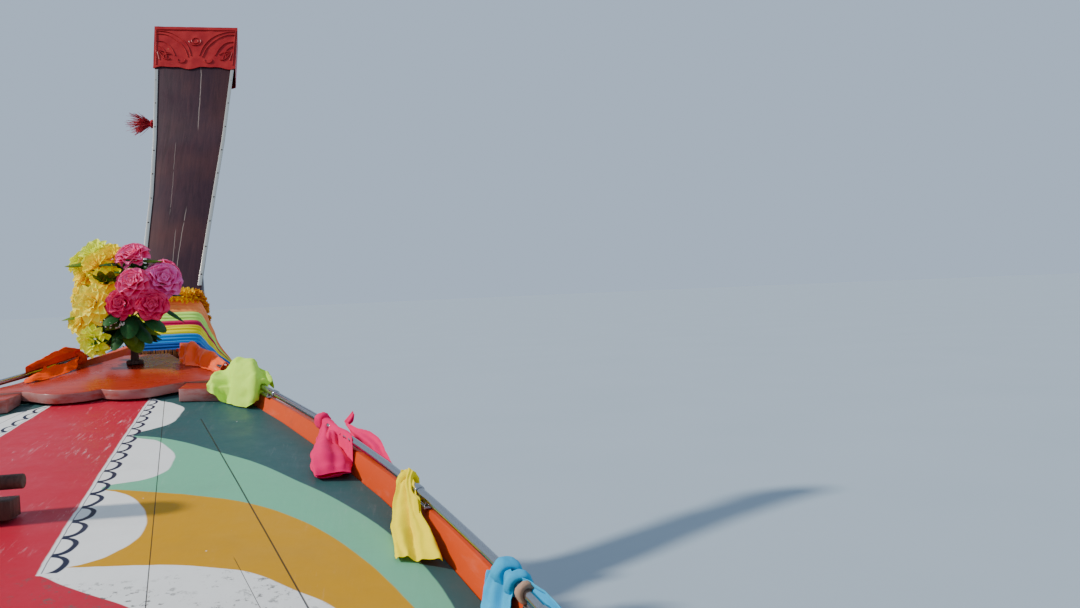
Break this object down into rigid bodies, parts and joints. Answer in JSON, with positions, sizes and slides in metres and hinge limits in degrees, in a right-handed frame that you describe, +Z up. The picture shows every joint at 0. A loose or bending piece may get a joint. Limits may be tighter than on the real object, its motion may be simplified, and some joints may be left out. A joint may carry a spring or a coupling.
{
  "type": "longtail boat",
  "caption": "Open wooden longtail boat with a tall raked stem post, painted foredeck, canopy over plank seats, and a swivelling engine with a long tail shaft.",
  "frame": {"origin": "on the waterline, on the centreline, amidships", "axes": "+Y aft, with the bow at -Y; +X to port; +Z up, with the water at Z = 0"},
  "size_m": [2.2128, 14.283, 2.8307],
  "materials": {
    "hull_wood": "varnished planks, worn",
    "bottom_paint": "matt red bottom paint",
    "stem_wood": "old dark varnish, cracked",
    "cap_sheet": "embossed red sheet",
    "edge_strip": "dull nailed strip",
    "gunwale_paint": "orange gloss paint",
    "deck_paint": "painted bands on planks, scuffed",
    "board_varnish": "red-brown gloss varnish",
    "dark_wood": "dark weathered wood",
    "petals": "artificial flowers and leaves",
    "marigold": "artificial garland",
    "ribbon_cloth": "satin ribbon",
    "tassel_cloth": "frayed red thread",
    "tied_cloth": "thin bright cloth",
    "rail_steel": "tube",
    "inner_wood": "oiled boards",
    "canvas": "woven tarpaulin",
    "engine_paint": "oily enamel",
    "black_iron": "painted black, rusty edges",
    "bronze": "cast bronze"
  },
  "bodies": {
    "hull": {"bottom_planks_fore_port": "bottom_paint", "bottom_planks_mid_port": "bottom_paint", "bottom_planks_aft_port": "bottom_paint", "bottom_planks_fore_starboard": "bottom_paint", "bottom_planks_mid_starboard": "bottom_paint", "bottom_planks_aft_starboard": "bottom_paint", "side_planks_port": "hull_wood", "side_planks_starboard": "hull_wood", "gunwale_fore_port": "gunwale_paint", "gunwale_aft_port": "gunwale_paint", "gunwale_fore_starboard": "gunwale_paint", "gunwale_aft_starboard": "gunwale_paint", "stem_post": "stem_wood", "keel": "bottom_paint", "stem_cap": "cap_sheet", "stem_strip_port": "edge_strip", "stem_strip_starboard": "edge_strip", "transom": "hull_wood", "foredeck": "deck_paint", "stern_deck": "inner_wood", "bow_board": "board_varnish", "bow_beam_port": "board_varnish", "bow_beam_starboard": "board_varnish", "flower_peg": "dark_wood", "bouquet": "petals", "ribbon_wraps": "ribbon_cloth", "garland": "marigold", "tassel": "tassel_cloth", "mooring_bitt": "dark_wood", "bow_rail_port": "rail_steel", "bow_rail_starboard": "rail_steel", "cloth_orange_port": "tied_cloth", "cloth_orange_starboard": "tied_cloth", "cloth_lime": "tied_cloth", "cloth_pink": "tied_cloth", "cloth_yellow": "tied_cloth", "cloth_blue": "tied_cloth", "hull_frames": "inner_wood", "floorboards": "inner_wood", "bench_1": "inner_wood", "bench_2": "inner_wood", "bench_3": "inner_wood", "bench_4": "inner_wood", "canopy_frame": "rail_steel", "canopy_roof": "canvas", "engine_post": "dark_wood", "swivel_base": "black_iron"},
    "yoke": {"engine_yoke": "black_iron"},
    "engine": {"engine_cradle": "black_iron", "engine_block": "engine_paint", "cylinder_head": "engine_paint", "bell_housing": "black_iron", "exhaust_pipe": "black_iron", "air_cleaner": "black_iron", "belt_drive": "black_iron", "tiller": "rail_steel", "tail_shaft": "rail_steel"},
    "propeller": {"propeller": "bronze"}
  },
  "joints": [
    {"name": "engine_swing", "type": "hinge", "parent": "hull", "child": "yoke", "pos_m": [0, 4.75, 1.1], "axis": [0, 0, 1], "range_deg": [-60, 60]},
    {"name": "tail_lift", "type": "hinge", "parent": "yoke", "child": "engine", "pos_m": [0, 4.75, 1.3], "axis": [1, 0, 0], "range_deg": [-5, 30]},
    {"name": "propeller_spin", "type": "hinge", "parent": "engine", "child": "propeller", "pos_m": [0, 8.13713, -0.2185], "axis": [0, 0.8988, -0.4384], "continuous": true}
  ]
}
